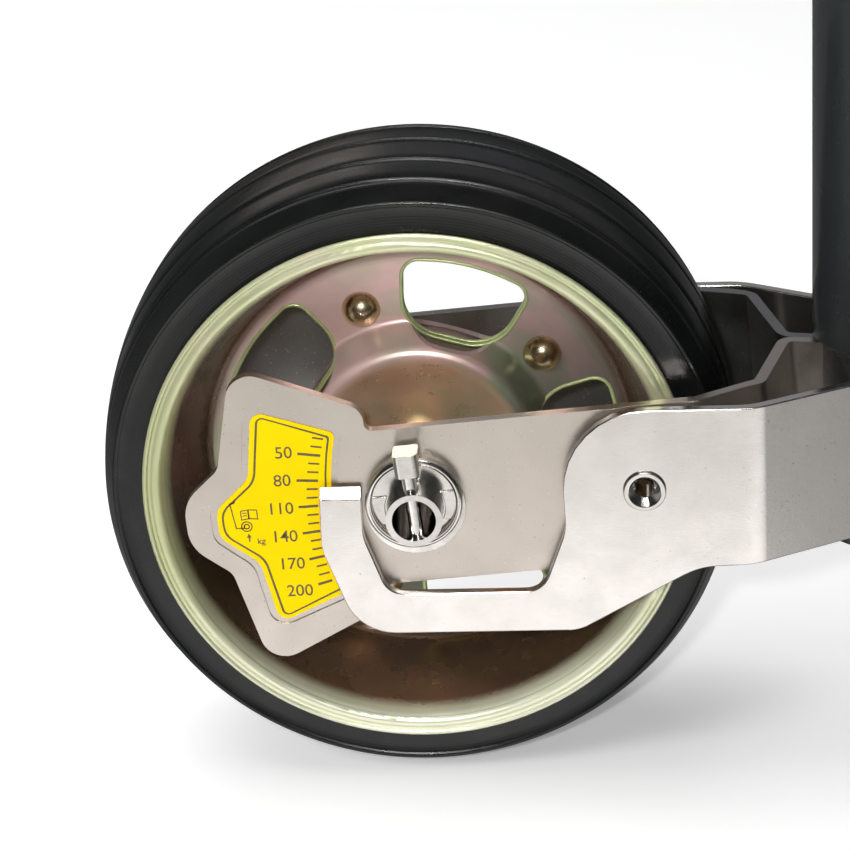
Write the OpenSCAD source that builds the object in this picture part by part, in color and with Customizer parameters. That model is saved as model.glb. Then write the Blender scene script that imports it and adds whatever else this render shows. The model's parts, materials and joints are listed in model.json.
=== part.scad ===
// Trailer nose wheel head with a built-in load gauge.
// Frame: Z runs up the leg tube, with Z = 0 at the clamped tube's lower end.
// The wheel turns about a line along Y, on the -X side of the leg.

/* [Wheel] */
// Tyre diameter
tyre_d = 230; // [220:1:236]
// Tyre width
tyre_w = 80; // [76:1:84]
// Radius of the tread's crown, seen across the tyre
crown_r = 228; // [200:1:300]
// Diameter over the edges between the tyre's side walls and its tread
shoulder_d = 219; // [216:1:222]
// Diameter over the rim's flanges
rim_d = 197; // [194:1:200]
// Circle on which the rim rivets lie
rivet_circle_d = 115; // [112:1:118]
// Number of rim rivets, and of vent holes between them
rivet_count = 5; // [5:1:6]
// Angle of the first vent hole above the wheel's front side
vent_angle = 74; // [60:1:80]

/* [Layout] */
// Distance from the leg's axis forward to the wheel's axle
axle_reach = 173; // [172:1:175]
// Height of the axle below the clamped tube's end
axle_drop = 41.2; // [40.8:0.1:42]
// Distance from the axle back to the lever's pivot, along the lever
lever_len = 81.6; // [81:0.1:82]
// Tilt of the lever when the wheel carries no more than it does at rest
lever_tilt = 4.6; // [4.4:0.1:4.8]

/* [Plates] */
// Thickness of the lever's and the fork's plates
plate_t = 4; // [3.5:0.1:4]
// Gap between the lever's two plates at the wheel
lever_gap = 100; // [98:1:100]
// Gap between the fork's two plates at the wheel
fork_gap = 112; // [112:1:114]
// Height of the lever's bar
bar_h = 60; // [58:1:60]
// Height of the scale plate at the lever's front
scale_h = 114; // [112:1:116]
// Radius of the fork's round head about the pivot
head_r = 30; // [29:1:31]
// Lean of the linch pin from upright
pin_lean = 6; // [0:1:8]

/* [Leg] */
// Outer diameter of the clamped tube
outer_d = 60; // [60:1:60]
// Outer diameter of the sliding tube
inner_d = 54; // [54:1:54]
// Wall of both tubes
wall = 2.5; // [2.5:0.1:2.6]
// Length of the clamped tube
outer_len = 230; // [220:1:240]
// Depth of the sliding tube's closed end below the clamped tube's end
leg_drop = 76; // [75:1:78]

/* [Axle] */
// Diameter of the hollow axle
axle_d = 20; // [20:1:20]
// Wall of the hollow axle
axle_wall = 2.2; // [2:0.1:2.4]
// Diameter of the axle's flat washers
washer_d = 36; // [34:1:36]
// Diameter of the linch pin's shaft
pin_d = 5; // [4.8:0.1:5]
// Diameter of the linch pin's ring, to the middle of its wire
ring_d = 32.2; // [32:0.1:33]
// Diameter of the ring's wire
ring_wire = 2.5; // [2.4:0.1:2.7]

/* [Hidden] */
$fn = 96;

fit = 0.05;                          // radial running clearance
wheel_at = [-axle_reach, 0, -axle_drop];
pivot_at = wheel_at + lever_len * [cos(lever_tilt), 0, sin(lever_tilt)];
pivot_dx = pivot_at.x - wheel_at.x;
pivot_dz = pivot_at.z - wheel_at.z;

lever_in = lever_gap / 2;            // lever plate, inner face
lever_out = lever_in + plate_t;      // lever plate, outer face
fork_in = fork_gap / 2;              // fork plate, inner face
fork_out = fork_in + plate_t;        // fork plate, outer face
pivot_r = 7.4;                       // tubular rivet at the pivot

tube_r = inner_d / 2;
bore_r = tube_r - wall;
leg_floor = -leg_drop + 3;           // top of the sliding tube's end cap
leg_top = 190;                       // upper end of the sliding tube
spindle_r = 9;
nut_h = 24;
collar_h = 20;                       // collar pressed into the sliding tube, round the nut
nut_r = 19.9;

disc_t = 2;                          // sheet of each rim half
bead_r = 1;                          // narrow lip round each rim half
band_r = 2.8;                        // rounding across the band inside that lip
lip_h = 0.7;                         // lip and band stand this far out of the flange
flange_h = tyre_w / 2 + 2.2;         // outer face of the rim flange from mid-plane
boss_h = 14;                         // height of the rim's central boss
hub_r = 15;
bush_r = 12.5;
axle_r = axle_d / 2;
axle_end = lever_out + 13.7;         // open end of the axle, from mid-plane
washer_t = 2;

neck_h = 28;                         // height of the lever's joined neck
neck_u = 134;                        // where the neck starts, from the axle
nose_r = 9;                          // rounded underside of the neck's tip
nose_u = axle_reach - 2;             // middle of that rounding, from the axle
neck_end = nose_u + nose_r;          // tip of the neck, from the axle
neck_ease = lever_tilt + 1.5;        // slope of the neck's underside, down to the nose

pin_y = -lever_out - 8.8;            // linch pin's plane
ring_y = -lever_out - 4.4;           // ring's plane, behind the pin's tip
ring_hinge_h = ring_d / 2 + 2.5;       // ring's hinge above the axle, along the pin

// ---------- outlines ----------

function unit(v) = v / norm(v);
function xy(p) = [p.x, p.y];

// A corner b of the path a-b-c, rounded to radius r
function corner(a, b, c, r, n) =
    r == 0 ? [b] :
    let (u = unit(a - b))
    let (w = unit(c - b))
    let (half = acos(u * w) / 2)
    let (mid = b + unit(u + w) * r / sin(half))
    let (p = b + u * r / tan(half) - mid)
    let (q = b + w * r / tan(half) - mid)
    let (from = atan2(p.y, p.x))
    let (turn = (atan2(q.y, q.x) - from + 540) % 360 - 180)
    [for (i = [0:n]) mid + r * [cos(from + turn * i / n), sin(from + turn * i / n)]];

// A closed outline from corners [x, y, radius]
function rounded(c, n = 8) =
    [for (i = [0:len(c) - 1])
        each corner(xy(c[(i + len(c) - 1) % len(c)]), xy(c[i]), xy(c[(i + 1) % len(c)]), c[i].z, n)];

function left_of(v) = [-v.y, v.x];

// Point on the mitre at b, d to the left of the path a-b-c
function mitre(a, b, c, d) =
    let (m = unit(left_of(unit(b - a)) + left_of(unit(c - b))))
    b + m * d / (m * left_of(unit(b - a)));

// Outline of a sheet of thickness t lying to the left of a bent path; bends: one inner radius, or one a bend
function sheet(p, t, bends) =
    let (last = len(p) - 1)
    let (r = [for (i = [1:last - 1]) is_list(bends) ? bends[i - 1] : bends])
    let (turns = [for (i = [1:last - 1]) cross(p[i] - p[i - 1], p[i + 1] - p[i]) * t > 0 ? 0 : 1])
    let (side = [for (i = [1:last - 1])
        let (q = mitre(p[i - 1], p[i], p[i + 1], t))
        [q.x, q.y, turns[i - 1] == 0 ? r[i - 1] : r[i - 1] + abs(t)]])
    let (start = p[0] + left_of(unit(p[1] - p[0])) * t)
    let (stop = p[last] + left_of(unit(p[last] - p[last - 1])) * t)
    concat(
        [[p[0].x, p[0].y, 0]],
        [for (i = [1:last - 1]) [p[i].x, p[i].y, r[i - 1] + (turns[i - 1] == 0 ? abs(t) : 0)]],
        [[p[last].x, p[last].y, 0], [stop.x, stop.y, 0]],
        [for (i = [last - 2:-1:0]) side[i]],
        [[start.x, start.y, 0]]);

// An outline below the lever's line, mirrored from the corners above it
function both_sides(c) = concat(c, [for (i = [len(c) - 1:-1:0]) [c[i].x, -c[i].y, c[i].z]]);

// Lever plate, seen from the side; x from the axle, y above the lever's line
scale_back = -14.5;
scale_front = -68.3;
thumb_front = -82.2;
lever_front = both_sides([
    [scale_back, bar_h / 2, 3],
    [scale_back, scale_h / 2 - 18.5, 7],
    [-59.1, scale_h / 2 + 1.9, 9],
    [scale_front, 20.4, 7],
    [thumb_front, 8.8, 14]]);
// Height of the neck's underside u from the axle
function neck_under(u) =
    nose_r * (1 - cos(neck_ease)) + (nose_u - nose_r * sin(neck_ease) - u) * tan(neck_ease);

lever_rear = [
    [104, -bar_h / 2, 20],
    [neck_u + 2, neck_under(neck_u + 2), 12],
    [neck_end, neck_under(neck_end), nose_r],
    [neck_end, neck_h - 6, 6],
    [neck_u + 5, neck_h, 40],
    [122, bar_h / 2, 40]];
lever_side = rounded(concat(lever_front, lever_rear));

// Lever plate, seen from above: inner face, from the scale back to the neck
lever_plan = rounded(sheet([
    [-90, -lever_in], [102, -lever_in], [123.5, -lever_in + 10.2],
    [neck_u, 0], [neck_end, 0]], -plate_t, 3));

// Sticker, m larger all round
function panel(m) = rounded(concat(
    [
        [-53.8 - m, 41.7 + m * 1.2, 4 + m],
        [-58 - m, 15.6 + m * 0.6, 9],
        [-71 - m, 4.6 + m * 0.4, 7],
        [-71 - m, -6.2 - m * 0.4, 7],
        [-58 - m, -17.2 - m * 0.6, 9],
        [-53.8 - m, -41.7 - m * 1.2, 4 + m]],
    [for (a = [-1:0.25:1]) let (swing = a * (15.9 + m * 0.5))
        [lever_len - (111 - m) * cos(swing), (111 - m) * sin(swing), abs(a) == 1 ? 2.5 : 0]]));

// Fork plate, seen from the side; from the axle
hook_x = -33.8;                      // pointer's outer edge
hook_w = 15;
hook_low = -47.9;
band_top = hook_low + 15.7;
hook_tip = 8.7;
bevel_h = 3.4;
arm_top = pivot_dz + head_r + 0.7;
arm_low = -21.8;
fork_end = axle_reach + 14;
fork_side = rounded([
    [hook_x, hook_tip, 0],
    [hook_x, -14, 22],
    [hook_x + 12.3, hook_low, 19],
    [57.3, hook_low, 16],
    [100.5, -23.6, 25],
    [fork_end, arm_low, 4],
    [fork_end, arm_top, 4],
    [pivot_dx - head_r, arm_top, head_r - 0.5],
    [53.2, -8, 20],
    [44.5, band_top, 9],
    [hook_x + hook_w + 8.3, band_top, 8],
    [hook_x + hook_w, -9, 20],
    [hook_x + hook_w, hook_tip, 0]]);

// Fork plate, seen from above: inner face, from the pointer back to the leg
fork_plan = rounded(sheet([
    [-40, -fork_in], [axle_reach - 54.5, -fork_in],
    [axle_reach, -tube_r], [fork_end + 1, -tube_r]], -plate_t, [18, 4]));

// Vent hole: x outward from the wheel's centre, y across
vent = rounded([
    [69.4, 24.6, 6.5], [42.8, 17.8, 16], [42.8, -17.8, 16],
    [69.4, -24.6, 6.5], [74.6, 0, 70]]);

// ---------- helpers ----------

// Children drawn with z as the distance from the mid-plane, towards the viewer
module toward_near() {
    rotate([90, 0, 0]) children();
}

module far_side() {
    mirror([0, 1, 0]) children();
}

module at_wheel() {
    translate(wheel_at) children();
}

// The lever's own frame: x along the lever from the axle
module at_lever() {
    translate(wheel_at) rotate([0, -lever_tilt, 0]) children();
}

module at_linch() {
    at_wheel() rotate([0, -pin_lean, 0]) children();
}

// A round bar along Y, from y = -far to y = -near
module cross_bar(r, near, far) {
    toward_near() translate([0, 0, near]) cylinder(r = r, h = far - near);
}

module cross_tube(r, hole, near, far) {
    difference() {
        cross_bar(r, near, far);
        cross_bar(hole, near - 1, far + 1);
    }
}

// A side outline cut from a sheet bent as seen from above
module bent_plate(side, plan, high) {
    intersection() {
        toward_near() linear_extrude(fork_out + 10) polygon(side);
        translate([0, 0, -high]) linear_extrude(2 * high) polygon(plan);
    }
}

// ---------- leg ----------

module outer_tube() {
    color([0.33, 0.35, 0.36])
    difference() {
        cylinder(d = outer_d, h = outer_len);
        translate([0, 0, -1]) cylinder(d = outer_d - 2 * wall, h = outer_len + 2);
    }
}

module top_cap() {
    color([0.16, 0.16, 0.17])
    translate([0, 0, outer_len])
    difference() {
        union() {
            rotate_extrude() polygon(rounded([
                [0, 0, 0], [outer_d / 2 - 0.5, 0, 0], [outer_d / 2 - 1.5, 7, 3],
                [14, 9, 3], [13, 16, 2], [0, 16, 0]]));
            translate([0, 0, -6]) cylinder(r = outer_d / 2 - wall - 0.1, h = 7);
        }
        translate([0, 0, -7]) cylinder(r = spindle_r + fit, h = 30);
    }
}

module thrust_washer() {
    color([0.7, 0.7, 0.68])
    translate([0, 0, outer_len - 9])
    difference() {
        cylinder(r = 17, h = 3);
        translate([0, 0, -1]) cylinder(r = spindle_r + 0.2, h = 5);
    }
}

// Threaded rod, its shoulder under the thrust washer and its squared drive end
module spindle() {
    color([0.62, 0.62, 0.6])
    union() {
        translate([0, 0, 10]) cylinder(r = spindle_r, h = outer_len + 10);
        translate([0, 0, outer_len - 15]) cylinder(r = 14, h = 5.8);
        translate([-5.5, -5.5, outer_len + 18]) cube([11, 11, 12]);
    }
}

// Nut that the sliding tube hangs on and turns about
module spindle_nut() {
    color([0.75, 0.62, 0.3])
    translate([0, 0, leg_top + 0.3])
    difference() {
        union() {
            cylinder(r = 26.5, h = 5);
            translate([0, 0, -nut_h]) cylinder(r = nut_r, h = nut_h + 1);
        }
        translate([0, 0, -nut_h - 1]) cylinder(r = spindle_r + fit, h = nut_h + 10);
    }
}

// Ring clipped to the nut below the collar, so that the tube can't drop off
module nut_circlip() {
    color([0.5, 0.5, 0.5])
    translate([0, 0, leg_top - collar_h - 1.9])
    difference() {
        cylinder(r = nut_r + 2, h = 1.6);
        translate([0, 0, -1]) cylinder(r = nut_r, h = 4);
    }
}

module inner_tube() {
    color([0.42, 0.44, 0.45])
    difference() {
        translate([0, 0, -leg_drop]) cylinder(r = tube_r, h = leg_top + leg_drop);
        translate([0, 0, -leg_drop - 1]) cylinder(r = bore_r, h = leg_top + leg_drop + 2);
        translate([-tube_r - 5, -5.5, -57]) cube([tube_r + 5, 11, 59]);
    }
}

// Ring pressed into the sliding tube, round the nut
module leg_collar() {
    color([0.55, 0.55, 0.53])
    translate([0, 0, leg_top - collar_h])
    difference() {
        cylinder(r = bore_r, h = collar_h);
        translate([0, 0, -1]) cylinder(r = nut_r + fit, h = collar_h + 2);
    }
}

module tube_end_cap() {
    color([0.4, 0.42, 0.43])
    translate([0, 0, -leg_drop])
    cylinder(r = bore_r, h = leg_floor + leg_drop);
}

// ---------- fork ----------

module fork_plate() {
    difference() {
        at_wheel() bent_plate(fork_side, fork_plan, 80);
        translate(pivot_at) cross_bar(pivot_r, 0, fork_out + 5);
        // bevel that thins the pointer's tip to a reading edge
        at_wheel()
        translate([hook_x - 1, 0, hook_tip])
        rotate([90, 0, 90])
        linear_extrude(hook_w + 2)
        polygon([
            [-fork_in, 0], [-fork_out, -bevel_h],
            [-fork_out - 5, -bevel_h], [-fork_out - 5, 5], [-fork_in, 5]]);
    }
}

module fork_near() {
    color([0.86, 0.85, 0.83]) fork_plate();
}

module fork_far() {
    color([0.86, 0.85, 0.83]) far_side() fork_plate();
}

// Weld that fills the corner between the plate's rear end and the tube
module weld_bead() {
    weld_r = 4.5;
    short = 4;                       // the weld stops this far from the plate's corners
    weld_h = arm_top - arm_low - 2 * short;
    translate([fork_end - axle_reach, 0, -axle_drop + arm_low + short])
    difference() {
        translate([0, -tube_r - 1, 0]) cylinder(r = weld_r, h = weld_h);
        translate([-20, -tube_r - 10, -1]) cube([20, 20, weld_h + 2]);
        translate([-1, -tube_r - 10, -1]) cube([10, 8, weld_h + 2]);
        translate([axle_reach - fork_end, 0, -1]) cylinder(r = tube_r, h = weld_h + 2);
    }
}

module weld_near() {
    color([0.5, 0.5, 0.48]) weld_bead();
}

module weld_far() {
    color([0.5, 0.5, 0.48]) far_side() weld_bead();
}

// Tubular rivet through fork, washer and lever, spread over at both ends
module pivot_rivet() {
    translate(pivot_at)
    difference() {
        union() {
            cross_bar(pivot_r - fit, lever_in - 2, fork_out + 1.2);
            cross_bar(pivot_r + 2.2, lever_in - 2, lever_in - 0.1);
        }
        cross_bar(3.2, lever_in - 5, fork_out + 5);
        toward_near() translate([0, 0, fork_out - 1.4]) cylinder(r1 = 3.2, r2 = 5.9, h = 2.7);
    }
}

module pivot_near() {
    color([0.8, 0.8, 0.78]) pivot_rivet();
}

module pivot_far() {
    color([0.8, 0.8, 0.78]) far_side() pivot_rivet();
}

// ---------- lever ----------

module lever_plate() {
    difference() {
        at_lever() bent_plate(lever_side, lever_plan, 80);
        at_wheel() cross_bar(axle_r + 0.02, 0, lever_out + 5);
        translate(pivot_at) cross_bar(pivot_r, 0, lever_out + 5);
        at_lever() toward_near() translate([0, 0, lever_out - 0.6])
            linear_extrude(5) polygon(panel(2.3));
        at_lever() for (u = [neck_u + 10, neck_u + 28])
            translate([u, 0, neck_h / 2]) cross_bar(2.5, -1, 20);
    }
}

module lever_near() {
    color([0.8, 0.78, 0.75]) lever_plate();
}

module lever_far() {
    color([0.8, 0.78, 0.75]) far_side() lever_plate();
}

// Rivet that joins the two plates at the neck, with flush ends
module neck_rivet(u) {
    at_lever() translate([u, 0, neck_h / 2]) cross_bar(2.5, -plate_t, plate_t);
}

module neck_rivet_front() {
    color([0.7, 0.7, 0.68]) neck_rivet(neck_u + 10);
}

module neck_rivet_rear() {
    color([0.7, 0.7, 0.68]) neck_rivet(neck_u + 28);
}

module scale_sticker() {
    color([1, 0.86, 0])
    at_lever() toward_near() translate([0, 0, lever_out - 0.6])
    linear_extrude(0.3) polygon(panel(0));
}

module pivot_washer() {
    translate(pivot_at) cross_tube(16, pivot_r, lever_out, fork_in - 0.1);
}

module pivot_washer_near() {
    color([0.7, 0.7, 0.68]) pivot_washer();
}

module pivot_washer_far() {
    color([0.7, 0.7, 0.68]) far_side() pivot_washer();
}

// ---------- axle ----------

// Hollow axle, with a rolled collar at its far end and a cross hole for the pin
module axle_tube() {
    color([0.78, 0.78, 0.76])
    difference() {
        union() {
            at_wheel() cross_bar(axle_r, -lever_out - washer_t - 3, axle_end);
            at_wheel() cross_bar(axle_r + 3, -lever_out - washer_t - 4, -lever_out - washer_t);
        }
        at_wheel() cross_bar(axle_r - axle_wall, -lever_out - 20, axle_end + 5);
        at_linch() translate([0, pin_y, -30]) cylinder(d = pin_d, h = 60);
    }
}

module washer() {
    at_wheel() cross_tube(washer_d / 2, axle_r, lever_out, lever_out + washer_t);
}

// Washer with the flat tab of the locking clip across its face
module washer_near() {
    tab_h = 10.6;
    tab_t = 0.9;
    color([0.72, 0.72, 0.7]) {
        washer();
        at_lever() toward_near()
        difference() {
            translate([0, 0, lever_out + washer_t]) cube([washer_d - 5, tab_h, 2 * tab_t], center = true);
            cylinder(r = axle_r + 0.8, h = axle_end);
        }
    }
}

module washer_far() {
    color([0.72, 0.72, 0.7]) far_side() washer();
}

module spacer() {
    at_wheel() cross_tube(13, axle_r, flange_h + 0.3, lever_in);
}

module spacer_near() {
    color([0.12, 0.12, 0.13]) spacer();
}

module spacer_far() {
    color([0.12, 0.12, 0.13]) far_side() spacer();
}

// Linch pin: round-nosed shaft and a rounded head that the ring hinges in
module linch_pin() {
    head_low = 16;
    head_high = 24.4;
    tip = ring_hinge_h - ring_d + 2.3;
    color([0.78, 0.78, 0.76])
    at_linch()
    difference() {
        union() {
            translate([0, pin_y, tip + pin_d / 2]) cylinder(d = pin_d, h = head_low - tip);
            translate([0, pin_y, tip + pin_d / 2]) sphere(d = pin_d);
            translate([0, 0, head_low]) linear_extrude(head_high - head_low) polygon(rounded([
                [-4.5, pin_y - 4, 2.5], [4.5, pin_y - 4, 2.5],
                [4.5, ring_y + 2.3, 1], [-4.5, ring_y + 2.3, 1]]));
        }
        translate([-10, ring_y, ring_hinge_h]) rotate([0, 90, 0]) cylinder(d = ring_wire + 1, h = 20);
    }
}

module linch_ring() {
    color([0.8, 0.8, 0.78])
    at_linch() translate([0, ring_y, ring_hinge_h + 0.3 - ring_d / 2])
    toward_near() rotate_extrude() translate([ring_d / 2, 0]) circle(d = ring_wire, $fn = 32);
}

// ---------- gauge ----------

plunger_top = -axle_drop + nose_u * sin(lever_tilt) - nose_r * (1 - cos(lever_tilt)) - 0.15;
plunger_h = 5;

module plunger() {
    color([0.45, 0.45, 0.44])
    translate([0, 0, plunger_top - plunger_h])
    difference() {
        cylinder(r = bore_r - 0.08, h = plunger_h);
        translate([0, 0, -1]) cylinder(r = 8, h = 3);
    }
}

// Cone-shaped coil spring, whose turns nest when it is pressed flat
spring_turns = 3.2;
spring_wire = 5;
spring_low = leg_floor + spring_wire / 2;
spring_high = plunger_top - plunger_h - spring_wire / 2;
spring_steps = 96;
spring_sides = 12;

function spring_point(i, j) =
    let (s = i / spring_steps)
    let (a = 360 * spring_turns * s)
    let (r = 21.4 - 11 * s + spring_wire / 2 * cos(360 * j / spring_sides))
    [r * cos(a), r * sin(a), spring_low + (spring_high - spring_low) * s
        + spring_wire / 2 * sin(360 * j / spring_sides)];

module gauge_spring() {
    color([0.3, 0.3, 0.31])
    polyhedron(
        points = [for (i = [0:spring_steps]) for (j = [0:spring_sides - 1]) spring_point(i, j)],
        faces = concat(
            [[for (j = [0:spring_sides - 1]) j]],
            [for (i = [0:spring_steps - 1]) for (j = [0:spring_sides - 1])
                let (k = (j + 1) % spring_sides)
                [i * spring_sides + j, (i + 1) * spring_sides + j,
                    (i + 1) * spring_sides + k, i * spring_sides + k]],
            [[for (j = [spring_sides - 1:-1:0]) spring_steps * spring_sides + j]]));
}

// ---------- wheel ----------

crown_edge = 31;                     // where the crown meets the shoulder, from mid-plane
wall_foot = 78;                      // radius of the rim's wall at the disc
wall_head = 91.5;                    // radius of the rim's wall at the flange

module tyre() {
    tread_r = tyre_d / 2;
    crown = [for (h = [-crown_edge:crown_edge / 8:crown_edge]) [tread_r - h * h / (2 * crown_r), h]];
    ease = 1.9;                      // room for the bend between the rim's wall and flange
    side = [wall_head + ease, tyre_w / 2];
    seat = [wall_foot + 1.7, 0.5];
    inner = [side + [ease, 0], side + (seat - side) * 0.05, seat];
    shoulder = corner(
        [tread_r - 2.1, crown_edge], [shoulder_d / 2, tyre_w / 2], [rim_d / 2, tyre_w / 2], 1.5, 8);
    color([0.07, 0.07, 0.075])
    at_wheel() toward_near()
    difference() {
        rotate_extrude($fn = 180) polygon(concat(
            [for (i = [2:-1:0]) [inner[i].x, -inner[i].y]],
            [for (i = [8:-1:0]) [shoulder[i].x, -shoulder[i].y]],
            crown,
            shoulder,
            inner));
        for (h = [-27.6, -10.6, 10.6, 27.6])
            rotate_extrude($fn = 180) translate([tread_r - h * h / (2 * crown_r) - 1.5, h - 1.5])
                square([5, 3]);
    }
}

// One half of the rim: rolled flange, wall, disc and boss, pressed from one sheet
module rim_half() {
    profile = rounded(sheet([
        [rim_d / 2 - 1.5, flange_h], [wall_head, flange_h], [wall_foot, disc_t],
        [49, disc_t], [42.5, boss_h], [hub_r, boss_h]], disc_t, 3));
    at_wheel() toward_near()
    difference() {
        rotate_extrude($fn = 180) union() {
            polygon(profile);
            translate([rim_d / 2 - bead_r, flange_h + lip_h - bead_r]) circle(r = bead_r, $fn = 24);
            intersection() {
                translate([wall_head + band_r - 0.5, flange_h + lip_h - band_r]) circle(r = band_r, $fn = 48);
                translate([wall_head, flange_h - disc_t / 2]) square([2 * band_r, disc_t]);
            }
        }
        for (i = [0:rivet_count - 1])
            rotate([0, 0, vent_angle + i * 360 / rivet_count]) {
                translate([0, 0, -1]) linear_extrude(30) polygon(vent);
                rotate([0, 0, 180 / rivet_count]) translate([rivet_circle_d / 2, 0, -1])
                    cylinder(r = 3, h = 10);
            }
    }
}

module rim_near() {
    color([0.74, 0.76, 0.58]) rim_half();
}

module rim_far() {
    color([0.74, 0.76, 0.58]) far_side() rim_half();
}

// Dome-headed rivet through both rim halves
module rim_rivet(i) {
    dome_h = 4.6;
    dome_r = 7;
    ball_r = (dome_r * dome_r + dome_h * dome_h) / (2 * dome_h);
    color([0.7, 0.6, 0.42])
    at_wheel() toward_near()
    rotate([0, 0, vent_angle + (i + 0.5) * 360 / rivet_count])
    translate([rivet_circle_d / 2, 0, 0]) {
        intersection() {
            translate([0, 0, disc_t + dome_h - ball_r]) sphere(r = ball_r);
            translate([0, 0, disc_t]) cylinder(r = dome_r, h = dome_h + 1);
        }
        translate([0, 0, -disc_t]) cylinder(r = 3, h = 2 * disc_t + 1);
        translate([0, 0, -disc_t - 2]) cylinder(r = 5.5, h = 2);
    }
}

module rim_rivet_1() {
    rim_rivet(0);
}

module rim_rivet_2() {
    rim_rivet(1);
}

module rim_rivet_3() {
    rim_rivet(2);
}

module rim_rivet_4() {
    rim_rivet(3);
}

module rim_rivet_5() {
    rim_rivet(4);
}

module hub_sleeve() {
    color([0.6, 0.6, 0.5])
    at_wheel() cross_tube(hub_r, bush_r, -flange_h, flange_h);
}

// Plastic bush between the hub's sleeve and the axle
module bush() {
    at_wheel() cross_tube(bush_r, axle_r + fit, flange_h - 22, flange_h);
}

module bush_near() {
    color([0.13, 0.13, 0.14]) bush();
}

module bush_far() {
    color([0.13, 0.13, 0.14]) far_side() bush();
}

// ---------- what is drawn ----------

outer_tube();
top_cap();
thrust_washer();
spindle();
spindle_nut();
nut_circlip();
inner_tube();
leg_collar();
tube_end_cap();
fork_near();
fork_far();
weld_near();
weld_far();
pivot_near();
pivot_far();
lever_near();
lever_far();
neck_rivet_front();
neck_rivet_rear();
scale_sticker();
pivot_washer_near();
pivot_washer_far();
axle_tube();
washer_near();
washer_far();
spacer_near();
spacer_far();
linch_pin();
linch_ring();
plunger();
gauge_spring();
tyre();
rim_near();
rim_far();
hub_sleeve();
bush_near();
bush_far();
rim_rivet_1();
rim_rivet_2();
rim_rivet_3();
rim_rivet_4();
rim_rivet_5();
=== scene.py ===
import json
import math

import bmesh
import bpy
from mathutils import Matrix, Vector


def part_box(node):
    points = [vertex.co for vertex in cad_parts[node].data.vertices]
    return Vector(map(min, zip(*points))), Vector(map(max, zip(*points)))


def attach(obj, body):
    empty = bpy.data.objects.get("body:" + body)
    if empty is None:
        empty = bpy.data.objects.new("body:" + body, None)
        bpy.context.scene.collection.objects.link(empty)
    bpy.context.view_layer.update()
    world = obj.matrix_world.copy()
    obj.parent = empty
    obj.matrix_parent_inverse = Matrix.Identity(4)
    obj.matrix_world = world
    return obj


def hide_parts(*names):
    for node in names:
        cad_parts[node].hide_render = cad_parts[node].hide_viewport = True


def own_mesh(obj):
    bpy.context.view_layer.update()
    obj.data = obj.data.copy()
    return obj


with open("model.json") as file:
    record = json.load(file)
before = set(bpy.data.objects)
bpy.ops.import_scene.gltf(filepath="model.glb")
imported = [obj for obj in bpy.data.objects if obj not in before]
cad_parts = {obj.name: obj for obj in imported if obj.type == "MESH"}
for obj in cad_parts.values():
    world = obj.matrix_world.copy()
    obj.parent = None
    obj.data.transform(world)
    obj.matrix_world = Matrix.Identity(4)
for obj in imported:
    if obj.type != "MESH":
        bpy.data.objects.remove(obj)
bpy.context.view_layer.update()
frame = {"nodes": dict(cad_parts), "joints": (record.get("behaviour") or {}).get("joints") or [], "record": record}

MM = 0.001
NODES = frame["nodes"]
BODY_OF = {n: b for b, ns in frame["record"]["behaviour"]["bodies"].items() for n in ns}

# ---------------------------------------------------------------- places

tyre_low, tyre_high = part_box("tyre")
WHEEL = (tyre_low + tyre_high) / 2
# The tyre's sizes in millimetres, and the angle in degrees of the first of the rim's vents
TYRE_R = 115
TYRE_HALF = 40
CROWN_R = 228
GROOVES = (10.6, 27.6)
VENTS = 5
FIRST_VENT = 74
JOINT = {j["name"]: j for j in frame["joints"]}
PIVOT = Vector(JOINT["gauge_tilt"]["pos_m"])
LEVER_LEN = (PIVOT - WHEEL).length
TILT = math.atan2(PIVOT.z - WHEEL.z, PIVOT.x - WHEEL.x)
STICKER_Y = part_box("scale_sticker")[0].y


def on_lever(u, v, y):
    """A point u along the lever from the axle and v above its line, in mm, at a given y in metres."""
    c, s = math.cos(TILT), math.sin(TILT)
    return Vector((WHEEL.x + (u * c - v * s) * MM, y, WHEEL.z + (u * s + v * c) * MM))


def about_axle(x, y, z):
    """A point given in millimetres from the wheel's centre."""
    return Vector((WHEEL.x + x * MM, WHEEL.y + y * MM, WHEEL.z + z * MM))


# ---------------------------------------------------------------- node graphs

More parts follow.
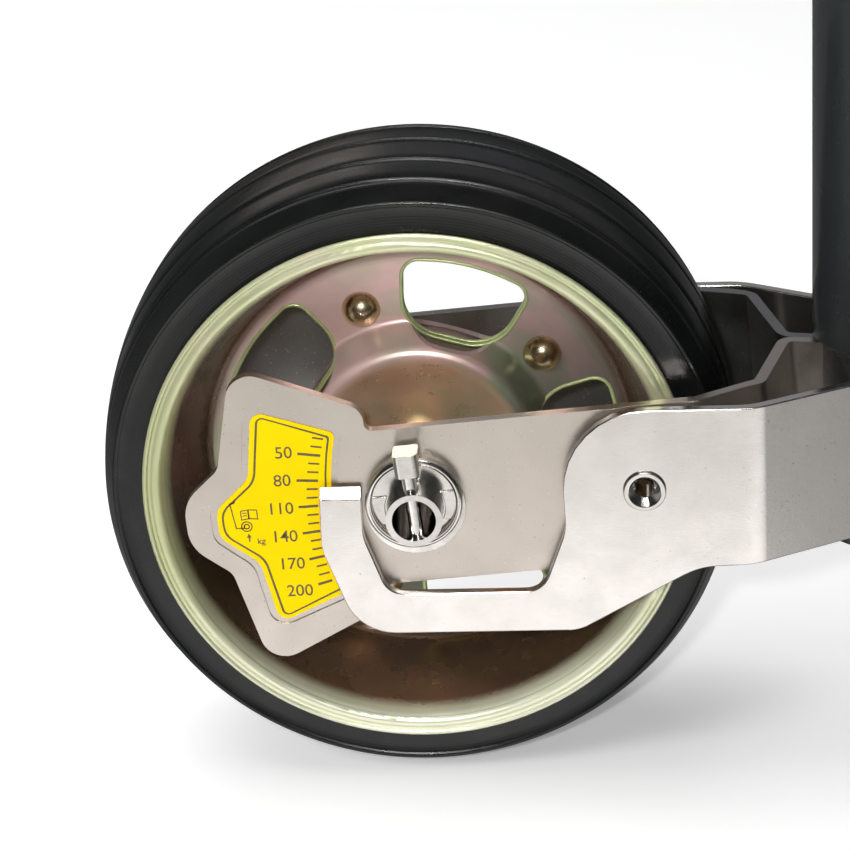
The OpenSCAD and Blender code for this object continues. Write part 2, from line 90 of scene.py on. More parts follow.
class Graph:
    """A material whose nodes are added one call at a time."""

    def __init__(self, owner):
        """owner: a new material's name, or a world that already has nodes."""
        self.material = bpy.data.materials.new(owner) if isinstance(owner, str) else owner
        self.material.use_nodes = True
        self.tree = self.material.node_tree
        self.shader = self.tree.nodes["Principled BSDF" if isinstance(owner, str) else "Background"]

    def node(self, kind, settings=None, **sockets):
        n = self.tree.nodes.new(kind)
        for key, value in (settings or {}).items():
            setattr(n, key, value)
        for key, value in sockets.items():
            self.feed(n, key.replace("_", " "), value)
        return n

    def feed(self, n, socket, value):
        target = n.inputs[int(socket)] if socket.isdigit() else n.inputs[socket]
        if isinstance(value, bpy.types.NodeSocket):
            self.tree.links.new(value, target)
        else:
            target.default_value = value

    def set(self, **sockets):
        for key, value in sockets.items():
            self.feed(self.shader, key.replace("_", " "), value)

    def place(self, scale=(1, 1, 1)):
        """Object coordinates, stretched."""
        coord = self.node("ShaderNodeTexCoord")
        mapping = self.node("ShaderNodeMapping", Vector=coord.outputs["Object"])
        mapping.inputs["Scale"].default_value = scale
        return mapping.outputs["Vector"]

    def noise(self, scale, detail=3, rough=0.55, where=None, stretch=(1, 1, 1)):
        where = where or self.place(stretch)
        n = self.node("ShaderNodeTexNoise", Vector=where, Scale=scale, Detail=detail, Roughness=rough)
        return n.outputs["Fac"]

    def math(self, what, a, b=0.0, c=0.0):
        n = self.node("ShaderNodeMath", {"operation": what})
        for i, value in enumerate((a, b, c)):
            self.feed(n, str(i), value)
        return n.outputs[0]

    def remap(self, value, low, high, to_low, to_high):
        n = self.node("ShaderNodeMapRange", Value=value)
        for key, v in (("From Min", low), ("From Max", high), ("To Min", to_low), ("To Max", to_high)):
            n.inputs[key].default_value = v
        return n.outputs["Result"]

    def ramp(self, value, stops):
        n = self.node("ShaderNodeValToRGB", Fac=value)
        ramp = n.color_ramp
        while len(ramp.elements) < len(stops):
            ramp.elements.new(0.5)
        for element, (at, colour) in zip(ramp.elements, stops):
            element.position = at
            element.color = (*colour, 1)
        return n.outputs["Color"]

    def mix(self, fac, a, b):
        n = self.node("ShaderNodeMix", {"data_type": "RGBA"})
        self.feed(n, "0", fac)
        for i, value in ((6, a), (7, b)):
            self.feed(n, str(i), value if isinstance(value, bpy.types.NodeSocket) else (*value, 1))
        return n.outputs[2]

    def bump(self, height, distance, strength=1.0, under=None):
        n = self.node("ShaderNodeBump", Height=height, Distance=distance, Strength=strength)
        if under is not None:
            self.tree.links.new(under, n.inputs["Normal"])
        return n.outputs["Normal"]

    def round_axle(self):
        """Distance from the wheel's axis, the angle about it and the place along it."""
        coord = self.node("ShaderNodeTexCoord")
        parts = self.node("ShaderNodeSeparateXYZ", Vector=coord.outputs["Object"])
        x = self.math("SUBTRACT", parts.outputs["X"], WHEEL.x)
        z = self.math("SUBTRACT", parts.outputs["Z"], WHEEL.z)
        squares = self.math("ADD", self.math("MULTIPLY", x, x), self.math("MULTIPLY", z, z))
        return self.math("SQRT", squares), self.math("ARCTAN2", z, x), parts.outputs["Y"]


def cycle(g, value, pitch):
    """A wave of the given pitch, from 0 to 1."""
    wave = g.math("SINE", g.math("MULTIPLY", value, 2 * math.pi / pitch))
    return g.math("MULTIPLY_ADD", wave, 0.5, 0.5)


# ---------------------------------------------------------------- materials

def rubber():
    g = Graph("rubber")
    radius, _, across = g.round_axle()
    patch = g.noise(16, 4)
    g.set(Base_Color=g.ramp(patch, [(0.3, (0.0030, 0.0038, 0.0040)), (0.7, (0.0070, 0.0070, 0.0066))]))
    g.set(Roughness=g.remap(g.noise(60, 4), 0.3, 0.7, 0.24, 0.36))
    lathe_lines = cycle(g, g.math("ADD", radius, across), 0.0011)
    fine = g.bump(lathe_lines, 0.00003, 0.5)
    grain = g.bump(g.noise(1500, 2), 0.00002, 0.5, under=fine)
    g.set(Normal=g.bump(g.noise(55, 2), 0.0004, 0.3, under=grain))
    g.shader.inputs["Specular IOR Level"].default_value = 0.5
    return g.material


def zinc_sheet(name, bright, dull, rough, stretch=(1, 1, 1), lines=0.00001):
    """Bright zinc on rolled steel sheet: soft reflections, faint clouds, specks and rolling lines."""
    g = Graph(name)
    cloud = g.noise(24, 5)
    colour = g.ramp(cloud, [(0.3, dull), (0.7, bright)])
    dark_speck = g.remap(g.noise(850, 2), 0.67, 0.73, 0.0, 0.45)
    colour = g.mix(dark_speck, colour, tuple(0.5 * c for c in dull))
    light_speck = g.remap(g.noise(1150, 1), 0.70, 0.76, 0.0, 0.8)
    g.set(Base_Color=g.mix(light_speck, colour, (0.96, 0.94, 0.92)))
    g.set(Metallic=1.0)
    g.set(Roughness=g.remap(g.noise(70, 4), 0.3, 0.7, rough - 0.04, rough + 0.06))
    rolled = g.bump(g.noise(420, 3, stretch=stretch), lines, 0.8)
    pits = g.bump(g.noise(1000, 2), 0.00001, 0.6, under=rolled)
    g.set(Normal=g.bump(g.noise(110, 3), 0.00004, 0.5, under=pits))
    return g.material


def facing(g, angle, degrees, low, high, most):
    """From 0 to most, where the side of the wheel at an angle in degrees comes near: a mask for painting light and
    shade onto that side of the rim.
    """
    nearness = g.math("COSINE", g.math("SUBTRACT", angle, math.radians(degrees)))
    return g.remap(nearness, low, high, 0.0, most)


def chromate(name):
    """Yellow chromate over zinc: patches of interference colour, zoned from the boss to the flange, with painted
    light and shade by side: the disc pink and bright at the upper left and dark away from it, the wall and flange
    darker at the left and brighter at the bottom.
    """
    boss_edge = (0.0370, 0.0400)
    wall_foot = (0.0735, 0.0790)
    wall_top = (0.0885, 0.0900)
    g = Graph(name)
    radius, angle, _ = g.round_axle()
    around = g.node("ShaderNodeCombineXYZ", X=g.math("MULTIPLY", radius, 3.0),
                    Y=g.math("MULTIPLY", angle, 0.05), Z=0.0)
    broad = g.noise(17, 3, where=around.outputs["Vector"])
    patch = g.math("MULTIPLY_ADD", broad, 0.6, g.math("MULTIPLY", g.noise(24, 4), 0.4))
    # Painted light on the disc: the patches are pushed towards their pink stops at the upper left (128 degrees)
    patch = g.math("ADD", patch, facing(g, angle, 128, 0.3, 1.0, 0.07))
    disc = g.ramp(patch, [
        (0.34, (0.33, 0.36, 0.27)), (0.43, (0.50, 0.57, 0.38)), (0.49, (0.66, 0.58, 0.46)),
        (0.55, (0.95, 0.62, 0.60)), (0.66, (0.56, 0.54, 0.44))])
    # Painted highlight: the disc pink and bright towards the upper left
    disc = g.mix(facing(g, angle, 128, 0.6, 1.0, 0.6), disc, (1.0, 0.72, 0.67))
    # Painted shade: the disc dark olive away from the upper left
    disc = g.mix(facing(g, angle, 128, 0.75, -0.5, 0.9), disc, (0.09, 0.105, 0.08))
    boss = g.ramp(g.noise(30, 4), [
        (0.30, (0.72, 0.45, 0.31)), (0.50, (0.82, 0.61, 0.43)),
        (0.62, (0.66, 0.57, 0.38)), (0.75, (0.84, 0.52, 0.37))])
    wall = g.ramp(g.noise(20, 3), [(0.35, (0.22, 0.135, 0.095)), (0.65, (0.31, 0.195, 0.14))])
    flange = g.ramp(g.noise(34, 4), [
        (0.30, (0.60, 0.66, 0.38)), (0.50, (0.70, 0.71, 0.46)), (0.70, (0.76, 0.71, 0.53))])
    # Painted shade: mask for darkening the wall and flange at the left side (185 degrees)
    painted_shade_left = facing(g, angle, 185, 0.3, 1.0, 0.75)
    # Painted light: mask for brightening the wall and flange at the bottom (-85 degrees)
    under = facing(g, angle, -85, 0.2, 1.0, 0.85)
    # The wall and the flange are darkened by the painted shade at the left and lightened by the painted light at
    # the bottom
    wall = g.mix(painted_shade_left, wall, (0.10, 0.055, 0.034))
    wall = g.mix(under, wall, (0.47, 0.30, 0.215))
    flange = g.mix(painted_shade_left, flange, (0.50, 0.54, 0.28))
    flange = g.mix(under, flange, (0.96, 0.97, 0.76))
    at = g.math("ADD", radius, g.math("MULTIPLY_ADD", g.noise(14, 3), 0.006, -0.003))
    colour = g.mix(g.remap(at, *boss_edge, 0.0, 1.0), boss, disc)
    colour = g.mix(g.remap(at, *wall_foot, 0.0, 1.0), colour, wall)
    colour = g.mix(g.remap(radius, *wall_top, 0.0, 1.0), colour, flange)
    g.set(Base_Color=colour)
    disc_satin = g.remap(radius, 0.036, 0.041, 0.5, 1.0)
    satin = g.math("SUBTRACT", disc_satin, g.remap(radius, 0.074, 0.079, 0.0, 0.85))
    satin = g.math("ADD", satin, g.remap(radius, *wall_top, 0.0, 0.8))
    g.set(Metallic=g.math("MULTIPLY_ADD", satin, -0.42, 1.0))
    rough = g.remap(g.noise(80, 4), 0.3, 0.7, 0.18, 0.30)
    g.set(Roughness=g.math("ADD", g.math("MULTIPLY", satin, 0.12), rough))
    drawn = g.bump(cycle(g, radius, 0.0016), 0.00001, 0.5)
    g.set(Normal=g.bump(g.noise(120, 2), 0.00003, 0.5, under=drawn))
    return g.material


def steel(name, colour, rough, bump=0.00002):
    g = Graph(name)
    shade = tuple(0.72 * c for c in colour)
    g.set(Base_Color=g.ramp(g.noise(60, 4), [(0.35, shade), (0.65, colour)]))
    g.set(Metallic=1.0)
    g.set(Roughness=g.remap(g.noise(140, 3), 0.3, 0.7, rough - 0.05, rough + 0.08))
    g.set(Normal=g.bump(g.noise(700, 3), bump, 0.7))
    return g.material


def satin(name, colour):
    """Passivated edge of pressed sheet: half metal, half chalky."""
    g = Graph(name)
    shade = tuple(0.78 * c for c in colour)
    g.set(Base_Color=g.ramp(g.noise(90, 4), [(0.35, shade), (0.65, colour)]))
    g.set(Metallic=0.45)
    g.set(Roughness=g.remap(g.noise(140, 3), 0.3, 0.7, 0.30, 0.42))
    g.set(Normal=g.bump(g.noise(500, 3), 0.00002, 0.5))
    return g.material


def lacquer(name, colour, rough):
    """Dark glossy finish on drawn tube, with streaks along it."""
    g = Graph(name)
    streak = g.noise(60, 4, stretch=(1, 1, 0.05))
    g.set(Base_Color=g.ramp(streak, [(0.3, tuple(0.6 * c for c in colour)), (0.7, colour)]))
    g.set(Metallic=0.6)
    g.set(Roughness=g.remap(g.noise(90, 4), 0.3, 0.7, rough - 0.04, rough + 0.08))
    g.set(Normal=g.bump(g.noise(160, 3, stretch=(1, 1, 0.08)), 0.00003, 0.6))
    return g.material


def plastic(name, colour, rough):
    g = Graph(name)
    shade = tuple(0.8 * c for c in colour)
    g.set(Base_Color=g.ramp(g.noise(40, 3), [(0.3, shade), (0.7, colour)]))
    g.set(Roughness=g.remap(g.noise(200, 3), 0.3, 0.7, rough - 0.05, rough + 0.05))
    g.set(Normal=g.bump(g.noise(2500, 2), 0.00003, 0.6))
    return g.material


def film():
    g = Graph("sticker_film")
    g.set(Base_Color=g.ramp(g.noise(45, 4), [(0.3, (0.84, 0.575, 0.0)), (0.7, (0.90, 0.61, 0.0))]))
    g.set(Roughness=g.remap(g.noise(160, 3), 0.3, 0.7, 0.42, 0.52))
    g.shader.inputs["Specular IOR Level"].default_value = 0.05
    g.set(Normal=g.bump(g.noise(260, 3), 0.00002, 0.5))
    return g.material


def ink():
    g = Graph("sticker_ink")
    g.set(Base_Color=g.ramp(g.noise(900, 3), [(0.3, (0.080, 0.062, 0.018)), (0.7, (0.14, 0.11, 0.035))]))
    g.set(Roughness=g.remap(g.noise(300, 2), 0.3, 0.7, 0.4, 0.5))
    return g.material


MATERIAL = {
    "rubber": rubber(),
    "zinc_lever": zinc_sheet("zinc_lever", (0.80, 0.725, 0.655), (0.74, 0.665, 0.59), 0.33),
    "zinc_fork": zinc_sheet("zinc_fork", (0.86, 0.82, 0.79), (0.80, 0.76, 0.73), 0.17, (1, 1, 16)),
    # A darker copy of the lever's zinc for the far lever: painted shade
    "zinc_painted_shade": zinc_sheet("zinc_painted_shade", (0.46, 0.46, 0.455), (0.38, 0.38, 0.375), 0.34),
    "zinc_tube": lacquer("zinc_tube", (0.060, 0.068, 0.068), 0.22),
    "zinc_leg": steel("zinc_leg", (0.42, 0.45, 0.46), 0.24),
    "bright_steel": steel("bright_steel", (0.84, 0.81, 0.77), 0.13),
    "dull_steel": steel("dull_steel", (0.50, 0.49, 0.47), 0.38, 0.00008),
    "spring_steel": steel("spring_steel", (0.22, 0.22, 0.23), 0.35),
    "bronze": steel("bronze", (0.72, 0.50, 0.24), 0.3),
    "rim_sheet": chromate("rim_sheet"),
    "rim_lip": satin("rim_lip", (0.62, 0.70, 0.33)),
    "rim_gold": steel("rim_gold", (0.82, 0.66, 0.42), 0.24),
    "black_plastic": plastic("black_plastic", (0.02, 0.02, 0.022), 0.42),
    "film": film(),
    "ink": ink(),
}

# ---------------------------------------------------------------- meshes

def add(name, mesh, body, material, smooth=35):
    """A new piece from a mesh, smooth except across edges sharper than the given angle."""
    piece = bpy.data.objects.new(name, mesh)
    bpy.context.scene.collection.objects.link(piece)
    mesh.materials.clear()
    mesh.materials.append(MATERIAL[material])
    for face in mesh.polygons:
        face.use_smooth = True
        face.material_index = 0
    if smooth:
        mesh.set_sharp_from_angle(angle=math.radians(smooth))
    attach(piece, body)
    return piece


def rounded_copy(node, material, width, segments=3):
    """The CAD node's own shape, its edges rounded by width millimetres and its flat faces left flat."""
    mesh = NODES[node].data.copy()
    bm = bmesh.new()
    bm.from_mesh(mesh)
    bmesh.ops.remove_doubles(bm, verts=bm.verts, dist=0.004 * MM)
    bmesh.ops.dissolve_limit(bm, angle_limit=math.radians(0.6), verts=bm.verts, edges=bm.edges)
    for face in bm.faces:
        face.smooth = True
    bm.to_mesh(mesh)
    bm.free()
    mesh.set_sharp_from_angle(angle=math.radians(35))
    blank = bpy.data.objects.new(node + "_blank", mesh)
    bpy.context.scene.collection.objects.link(blank)
    bevel = blank.modifiers.new("edge", "BEVEL")
    bevel.width = width * MM
    bevel.segments = segments
    bevel.limit_method = "ANGLE"
    bevel.angle_limit = math.radians(35)
    bevel.use_clamp_overlap = True
    bevel.miter_outer = "MITER_ARC"
    bevel.harden_normals = True
    flats = blank.modifiers.new("flats", "WEIGHTED_NORMAL")
    flats.weight = 100
    flats.keep_sharp = True
    bpy.context.view_layer.update()
    made = bpy.data.meshes.new_from_object(blank.evaluated_get(bpy.context.evaluated_depsgraph_get()))
    bpy.data.objects.remove(blank)
    piece = add(node + "_finished", made, BODY_OF[node], material, smooth=0)
    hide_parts(node)
    return piece


def lathe(profile, steps=256):
    """A closed ring: profile points (radius, y) in millimetres turned about the wheel's axis."""
    mesh = bpy.data.meshes.new("ring")
    count = len(profile)
    verts = []
    for i in range(steps):
        a = 2 * math.pi * i / steps
        for radius, y in profile:
            verts.append(about_axle(radius * math.cos(a), y, radius * math.sin(a)))
    faces = []
    for i in range(steps):
        k = (i + 1) % steps
        for j in range(count):
            m = (j + 1) % count
            faces.append((i * count + j, k * count + j, k * count + m, i * count + m))
    mesh.from_pydata(verts, [], faces)
    outward(mesh)
    return mesh


def outward(mesh):
    """Turn the faces of a closed mesh to look out of it."""
    bm = bmesh.new()
    bm.from_mesh(mesh)
    bmesh.ops.recalc_face_normals(bm, faces=bm.faces)
    bm.to_mesh(mesh)
    bm.free()


def dress(node, material):
    """The CAD node itself, with a finished material."""
    mesh = NODES[node].data
    for i in range(max(1, len(mesh.materials))):
        if i < len(mesh.materials):
            mesh.materials[i] = MATERIAL[material]
        else:
            mesh.materials.append(MATERIAL[material])


PLATES = {
    "fork_near": "zinc_fork", "fork_far": "zinc_fork",
    # The far lever takes the darker zinc: painted shade
    "lever_near": "zinc_lever", "lever_far": "zinc_painted_shade",
}
for node, material in PLATES.items():
    rounded_copy(node, material, 0.45)

ROUNDED = {
    "outer_tube": ("zinc_tube", 0.5), "inner_tube": ("zinc_leg", 0.4),
    "top_cap": ("black_plastic", 0.6), "linch_pin": ("bright_steel", 0.4),
    "washer_near": ("bright_steel", 0.3), "washer_far": ("bright_steel", 0.3),
    "pivot_near": ("bright_steel", 0.3), "pivot_far": ("bright_steel", 0.3),
    "axle_tube": ("bright_steel", 0.4), "spacer_near": ("black_plastic", 0.3),
    "spacer_far": ("black_plastic", 0.3), "spindle": ("bright_steel", 0.4),
    "tube_end_cap": ("zinc_leg", 0.4),
}
for node, (material, width) in ROUNDED.items():
    rounded_copy(node, material, width)

DRESSED = {
    "thrust_washer": "bright_steel", "spindle_nut": "bronze", "nut_circlip": "spring_steel",
    "leg_collar": "dull_steel", "weld_near": "dull_steel", "weld_far": "dull_steel",
    "neck_rivet_front": "zinc_lever", "neck_rivet_rear": "zinc_lever", "scale_sticker": "film",
    "pivot_washer_near": "bright_steel", "pivot_washer_far": "bright_steel",
    "linch_ring": "bright_steel", "plunger": "dull_steel", "hub_sleeve": "rim_gold",
    "bush_near": "black_plastic", "bush_far": "black_plastic",
    "rim_near": "rim_sheet", "rim_far": "rim_sheet",
}
for i in range(VENTS):
    DRESSED[f"rim_rivet_{i + 1}"] = "rim_gold"
for node, material in DRESSED.items():
    dress(node, material)

# The gauge spring stands on the sliding tube's end cap and is pressed shorter by the plunger in use; here it is a
# fixed copy with its own mesh on the leg
coil = add("gauge_coil", NODES["gauge_spring"].data.copy(), "leg", "spring_steel", smooth=60)
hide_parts("gauge_spring")
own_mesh(coil)

# ---------------------------------------------------------------- outlines

def arc(centre, radius, start, turn, steps):
    """Points round part of a circle, ends included, with angles in radians."""
    return [(centre.x + radius * math.cos(start + turn * i / steps),
             centre.y + radius * math.sin(start + turn * i / steps)) for i in range(steps + 1)]


def corner(a, b, c, radius, steps=6):
    """The rounding of the corner at b on the way from a to c."""
    a, b, c = Vector(a), Vector(b), Vector(c)
    u, w = (a - b).normalized(), (c - b).normalized()
    half_angle = math.acos(max(-1, min(1, u.dot(w)))) / 2
    if radius == 0 or half_angle > math.pi / 2 - 0.01:
        return [tuple(b)]
    mid = b + (u + w).normalized() * radius / math.sin(half_angle)
    p = b + u * radius / math.tan(half_angle) - mid
    q = b + w * radius / math.tan(half_angle) - mid
    start = math.atan2(p.y, p.x)
    turn = (math.atan2(q.y, q.x) - start + 3 * math.pi) % (2 * math.pi) - math.pi
    return arc(mid, radius, start, turn, steps)


def outline_of(corners, steps=6):
    """A closed outline from corners (x, y, radius)."""
    points = []
    for i, (x, y, radius) in enumerate(corners):
        points += corner(corners[i - 1][:2], (x, y), corners[(i + 1) % len(corners)][:2], radius, steps)
    return points


# ---------------------------------------------------------------- tyre

def tyre_profile():
    """Half of the tyre's section, (radius, y): from the tread's middle out, and in again to the seat."""
    def crown(y):
        return TYRE_R - y * y / (2 * CROWN_R)

    groove = [(-1.95, 0), (-1.6, 0.14), (-1.38, 0.5), (-1.2, 1.25), (-0.85, 1.5)]
    groove += [(-off, deep) for off, deep in reversed(groove)]
    inner, outer = ([(crown(y + off) - deep, y + off) for off, deep in groove] for y in GROOVES)
    tread_edge = (crown(30.2), 30.2)
    shoulder = (112.75, 31.4)
    side_top = (109.3, TYRE_HALF)
    side_step = [(108.0, 39.95), (107.75, 39.85), (107.5, 39.62), (107.2, 39.5)]
    side = [(104, 39.45), (101, 39.45), (99.5, 39.5), (97.5, 39.6), (95.4, 39.8)]
    seat = [(92.7, 38.0), (79.8, 0.6)]
    tread = [(crown(0), 0), (crown(5), 5)] + inner + [(crown(15), 15), (crown(20), 20)] + outer
    edge = [tread_edge] + corner(tread_edge, shoulder, side_top, 1.2, 4)
    return tread + edge + corner(shoulder, side_top, (100, TYRE_HALF), 0.9, 6) + side_step + side + seat


half = tyre_profile()
section = half + [(r, -y) for r, y in reversed(half[1:])]
tyre = add("tyre_turned", lathe(section, 288), BODY_OF["tyre"], "rubber", smooth=50)
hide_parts("tyre")

# ---------------------------------------------------------------- scale printing

# The scale is a dial about the lever's pivot: angles in degrees, radii and heights in millimetres
PRINT_PROUD = 0.04 * MM
SWING_50 = 11.15
SWING_PER_KG = 0.1615
TICK_START = 115
TICK_END = 123.2
NUMBER_HIGH = 4.5
CAPITAL = 0.70


def swing_of(kg):
    """Degrees above the lever's line at which a load is printed."""
    return SWING_50 - (kg - 50) * SWING_PER_KG


def on_arc(radius, swing):
    """Lever coordinates of a point on a circle about the pivot, swing degrees above the lever's line."""
    a = math.radians(swing)
    return LEVER_LEN / MM - radius * math.cos(a), radius * math.sin(a)


def printed(name, outlines):
    """Thin printed shapes that stand a little out of the sticker, from outlines of (u, v)."""
    mesh = bpy.data.meshes.new(name)
    verts, faces = [], []
    for outline in outlines:
        n, first = len(outline), len(verts)
        verts += [on_lever(u, v, STICKER_Y - PRINT_PROUD) for u, v in outline]
        verts += [on_lever(u, v, STICKER_Y + PRINT_PROUD) for u, v in outline]
        faces.append(tuple(first + i for i in range(n)))
        faces.append(tuple(first + n + i for i in reversed(range(n))))
        for i in range(n):
            k = (i + 1) % n
            faces.append((first + i, first + n + i, first + n + k, first + k))
    mesh.from_pydata(verts, [], faces)
    outward(mesh)
    piece = add(name, mesh, BODY_OF["scale_sticker"], "ink", smooth=30)
    return piece


def bar(a, b, width):
    """A straight stroke of the given width from a to b."""
    a, b = Vector(a), Vector(b)
    along = (b - a).normalized() * width / 2
    side = Vector((-along.y, along.x))
    return [tuple(point) for point in (a + side, b + side, b - side, a - side)]


def stroke(path, width):
    """Strokes with round joints along a path."""
    shapes = [bar(a, b, width) for a, b in zip(path, path[1:])]
    return shapes + [arc(Vector(point), width / 2, 0, 1.8 * math.pi, 9) for point in path[1:-1]]


def panel(m):
    """The sticker's outline, m millimetres larger all round, always with the same number of points."""
    corners = [
        (-53.8 - m, 41.7 + m * 1.2, 4 + m), (-58 - m, 15.6 + m * 0.6, 9),
        (-71 - m, 4.6 + m * 0.4, 7), (-71 - m, -6.2 - m * 0.4, 7),
        (-58 - m, -17.2 - m * 0.6, 9), (-53.8 - m, -41.7 - m * 1.2, 4 + m)]
    for i in range(9):
        u, v = on_arc(111 - m, (i / 4 - 1) * (15.9 + m * 0.5))
        corners.append((u, v, 1.2 if i in (0, 8) else 0))
    return outline_of(corners)


def ring_strokes(outer, inner):
    """The band between two outlines with the same number of points, as short quads."""
    n = len(outer)
    return [[outer[i], outer[(i + 1) % n], inner[(i + 1) % n], inner[i]] for i in range(n)]


printed("print_border", ring_strokes(panel(-1.6), panel(-2.3)))

ticks = []
for kg in range(30, 201, 10):
    start = TICK_START + (kg - 50) / 150 * 2.9
    numbered = kg >= 50 and (kg - 50) % 30 == 0
    end, width = (TICK_END, 1.0) if numbered else (start + 4.0, 0.7)
    ticks.append(bar(on_arc(start, swing_of(kg)), on_arc(end, swing_of(kg)), width))
printed("print_ticks", ticks)


def number(text, radius, swing, high):
    """A printed number or unit, upright and centred at a place on the scale, high millimetres tall."""
    curve = bpy.data.curves.new("number", "FONT")
    curve.body = text
    curve.size = high * MM / CAPITAL
    curve.extrude = PRINT_PROUD
    curve.resolution_u = 4
    curve.align_x = "CENTER"
    curve.offset = 0.04 * MM
    letters = bpy.data.objects.new("letters", curve)
    bpy.context.scene.collection.objects.link(letters)
    bpy.context.view_layer.update()
    mesh = bpy.data.meshes.new_from_object(letters.evaluated_get(bpy.context.evaluated_depsgraph_get()))
    bpy.data.objects.remove(letters)
    u, v = on_arc(radius, swing)
    place = Matrix.Translation(on_lever(u, v, STICKER_Y)) @ Matrix.Rotation(-0.035, 4, "Y")
    centred = Matrix.Translation((0, -high * MM / 2, 0))
    mesh.transform(place @ Matrix.Rotation(math.pi / 2, 4, "X") @ centred)
    bm = bmesh.new()
    bm.from_mesh(mesh)
    bmesh.ops.remove_doubles(bm, verts=bm.verts, dist=0.001 * MM)
    bmesh.ops.recalc_face_normals(bm, faces=bm.faces)
    bm.to_mesh(mesh)
    bm.free()
    piece = add("print_number_" + text, mesh, BODY_OF["scale_sticker"], "ink", smooth=30)


for kg, radius in ((50, 128.2), (80, 128.4), (110, 129.7), (140, 129.8), (170, 129.7), (200, 130.2)):
    number(str(kg), radius, swing_of(kg), NUMBER_HIGH)

# A small picture: an open book with a jockey wheel's leg and wheel below it, and an arrow
PAGE_HIGH = 3.5
picture = []
for left, right in (((-62.4, 3.6), (-59.8, 3.9)), ((-59.6, 3.9), (-56.6, 3.5))):
    page = [left, right, (right[0], right[1] - PAGE_HIGH), (left[0], left[1] - PAGE_HIGH)]
    picture += stroke(page + page[:1], 0.4)
for v in (2.2, 1.2):
    picture.append(bar((-61.9, v + 0.4), (-60.3, v + 0.5), 0.35))
picture += stroke([(-63.7, 7.9), (-64.4, 6.9), (-65.8, 6.8), (-64.7, -3.0), (-61.6, -3.2)], 0.45)
for radius in (1.9, 0.9):
    picture += stroke(arc(Vector((-60.9, -2.6)), radius, 0, 2 * math.pi, 12), 0.45)
arrow_shaft = [(-60.6, -8.6), (-60.6, -6.8)]
arrow_head = [(-61.5, -7.0), (-59.7, -7.0), (-60.6, -5.4)]
picture += stroke(arrow_shaft, 0.55)
picture.append(arrow_head)
printed("print_picture", picture)
number("kg", 138.3, -3.6, 2.3)

# ---------------------------------------------------------------- vent lips

# A vent's outline on the wheel's +X side: (x, z, corner radius)
VENT = outline_of([
    (69.4, 24.6, 6.5), (42.8, 17.8, 16), (42.8, -17.8, 16), (69.4, -24.6, 6.5), (74.6, 0, 70)], 12)
LIP_R = 0.75 * MM
SHEET_MIDDLE = 1.75


def swept(path, radius, sides=10):
    """A round bead along a closed path of points."""
    mesh = bpy.data.meshes.new("bead")
    verts, faces, n = [], [], len(path)
    for i, here in enumerate(path):
        along = (path[(i + 1) % n] - path[i - 1]).normalized()
        across = along.cross(Vector((0, 1, 0))).normalized()
        for j in range(sides):
            t = 2 * math.pi * j / sides
            verts.append(here + radius * (across * math.cos(t) + Vector((0, 1, 0)) * math.sin(t)))
    for i in range(n):
        for j in range(sides):
            k, m = (i + 1) % n, (j + 1) % sides
            faces.append((i * sides + j, k * sides + j, k * sides + m, i * sides + m))
    mesh.from_pydata(verts, [], faces)
    outward(mesh)
    return mesh


def spaced(outline, gap):
    """The outline with points closer than gap left out."""
    kept = [Vector(outline[0])]
    for point in outline[1:]:
        if (Vector(point) - kept[-1]).length > gap:
            kept.append(Vector(point))
    return kept


for side, y in (("near", -SHEET_MIDDLE), ("far", SHEET_MIDDLE)):
    for i in range(VENTS):
        a = math.radians(FIRST_VENT + 360 / VENTS * i)
        c, d = math.cos(a), math.sin(a)
        path = [about_axle(p.x * c - p.y * d, y, p.x * d + p.y * c) for p in spaced(VENT, 0.5)]
        bead = swept(path, LIP_R)
        lip = add(f"vent_lip_{side}_{i + 1}", bead, BODY_OF["rim_near"], "rim_lip", smooth=60)

# ---------------------------------------------------------------- camera, floor and light

AZIMUTH, ELEVATION, ROLL = (math.radians(a) for a in (3.08, 23.72, -2.36))
DISTANCE = 1.5136
level = math.cos(ELEVATION)
back = Vector((math.sin(AZIMUTH) * level, -math.cos(AZIMUTH) * level, math.sin(ELEVATION)))
right = Vector((math.cos(AZIMUTH), math.sin(AZIMUTH), 0))
up = back.cross(right)
right, up = right * math.cos(ROLL) + up * math.sin(ROLL), up * math.cos(ROLL) - right * math.sin(ROLL)
target = WHEEL + Vector((0.0021, 0, 0.00745)) - right * 0.00044 - up * 0.00033
eye = target + back * DISTANCE
camera = bpy.data.objects.new("camera", bpy.data.cameras.new("camera"))
bpy.context.scene.collection.objects.link(camera)
camera.matrix_world = Matrix.Translation(eye) @ Matrix((right, up, back)).transposed().to_4x4()
camera.data.lens = 175.1
camera.data.sensor_width = 36
camera.data.clip_end = 20
bpy.context.scene.camera = camera

floor_mesh = bpy.data.meshes.new("floor")
floor_corners = [(x, y, tyre_low.z) for x, y in ((-4, -4), (4, -4), (4, 6), (-4, 6))]
floor_mesh.from_pydata(floor_corners, [], [(0, 1, 2, 3)])
floor = bpy.data.objects.new("floor", floor_mesh)
bpy.context.scene.collection.objects.link(floor)
paper = Graph("paper")
mottle = paper.noise(3, 2)
paper.set(Base_Color=paper.ramp(mottle, [(0.3, (0.90, 0.90, 0.90)), (0.7, (0.92, 0.92, 0.92))]))
paper.set(Roughness=0.9)
paper.shader.inputs["Emission Color"].default_value = (1, 1, 1, 1)
paper.shader.inputs["Emission Strength"].default_value = 0.27
floor_mesh.materials.append(paper.material)
floor.visible_glossy = False


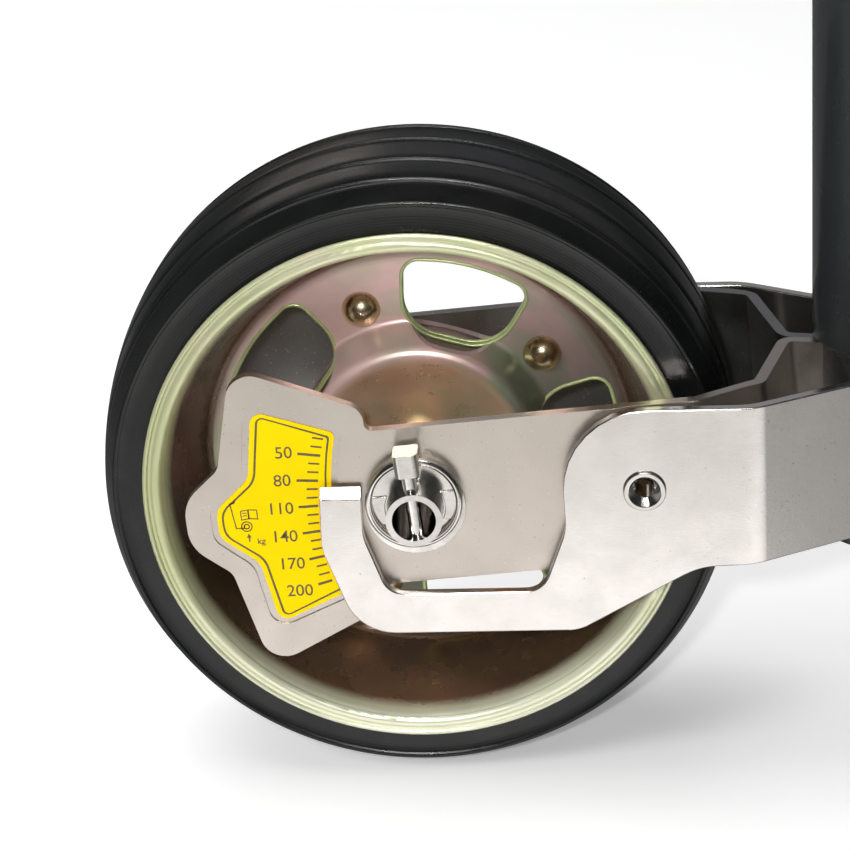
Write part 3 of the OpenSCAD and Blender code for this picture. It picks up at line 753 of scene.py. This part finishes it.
def softbox(name, at, size, power, colour=(1, 1, 1), aim=(0, 0, 0), glossy=True, diffuse=True):
    """A rectangular light at a place, turned to an aim, both given in metres from the wheel's centre."""
    lamp = bpy.data.lights.new(name, "AREA")
    lamp.shape = "RECTANGLE"
    lamp.size, lamp.size_y = size
    lamp.energy = power
    lamp.color = colour
    box = bpy.data.objects.new(name, lamp)
    bpy.context.scene.collection.objects.link(box)
    box.location = WHEEL + Vector(at)
    box.rotation_euler = (Vector(aim) - Vector(at)).to_track_quat("-Z", "Y").to_euler()
    box.visible_glossy = glossy
    box.visible_diffuse = diffuse
    box.visible_camera = False


softbox("flash", eye - right * 0.08 + up * 0.05 - WHEEL, (0.07, 0.05), 9.0)
softbox("key", (-1.5, -1.3, 1.1), (1.0, 1.0), 27, glossy=False)
softbox("top", (-0.5, 0.4, 2.0), (2.6, 2.0), 40, glossy=False)
softbox("strip", (0.1, -0.62, 1.45), (1.2, 0.14), 6.0, (1, 0.98, 0.95), diffuse=False)
softbox("warm", (-0.62, 1.8, 0.8), (0.7, 0.5), 0.8, (1, 0.85, 0.74), diffuse=False)
softbox("card", (0.05, -0.32, -0.215), (0.9, 0.15), 0.13, aim=(0.05, -0.05, 0.0), diffuse=False)
softbox("glint", (0.0, -0.39, 1.5), (0.8, 0.2), 5.0, diffuse=False)

# Surroundings that the metal mirrors: a bright table in front, dim everywhere else, a grey band behind.
world = bpy.data.worlds.new("studio")
bpy.context.scene.world = world
world.use_nodes = True
sky = Graph(world)
way = sky.node("ShaderNodeSeparateXYZ", Vector=sky.node("ShaderNodeTexCoord").outputs["Generated"])
east, north, high = (way.outputs[axis] for axis in "XYZ")
ahead = sky.remap(north, -0.38, -0.80, 0.0, 1.0)
table = sky.math("MULTIPLY", ahead, sky.remap(high, -0.30, -0.50, 0.0, 2.15))
behind = sky.remap(north, 0.4, 0.85, 0.0, 1.0)
band = sky.math("SUBTRACT", sky.remap(high, 0.15, 0.30, 0.0, 1.0), sky.remap(high, 0.5, 0.75, 0.0, 1.0))
side_low = sky.remap(high, 0.0, -0.5, 0.0, 1.0)
shade = sky.mix(side_low, (0.022, 0.024, 0.023), (0.24, 0.24, 0.235))
shade = sky.mix(sky.remap(east, -0.80, -0.95, 0.0, 1.0), shade, (0.24, 0.25, 0.25))
shade = sky.mix(sky.math("MULTIPLY", behind, band), shade, (0.24, 0.24, 0.255))
shade = sky.mix(table, shade, (1.0, 0.985, 0.97))
seen = sky.node("ShaderNodeLightPath").outputs["Is Camera Ray"]
sky.set(Color=sky.mix(seen, shade, (0.93, 0.93, 0.93)), Strength=1.0)
bpy.context.scene.view_settings.view_transform = "Standard"
